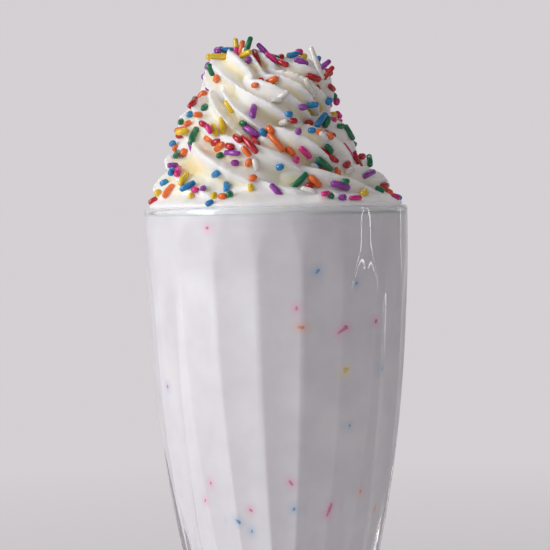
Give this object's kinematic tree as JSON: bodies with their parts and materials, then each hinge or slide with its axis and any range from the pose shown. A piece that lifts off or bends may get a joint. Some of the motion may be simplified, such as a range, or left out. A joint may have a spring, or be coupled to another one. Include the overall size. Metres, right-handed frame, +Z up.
{
  "type": "milkshake",
  "caption": "Milkshake in a tall fluted soda glass on a round foot, topped with a piped whipped cream swirl and rod-shaped sprinkles.",
  "frame": {"origin": "centre of the flat ring on the underside of the glass's foot, which is the bottom centre of the whole object", "axes": "+Z up the glass's axis, -Y towards the picture's camera, +X to the right of that view"},
  "size_m": [0.082, 0.082, 0.2287],
  "materials": {
    "glass": "clear polished pressed glass",
    "milkshake": "thick pale drink, wet against the glass",
    "whipped_cream": "soft satin cream with glossy coloured sprinkles"
  },
  "bodies": {
    "root": {"glass": "glass", "milkshake": "milkshake", "whipped_cream": "whipped_cream"}
  },
  "joints": []
}
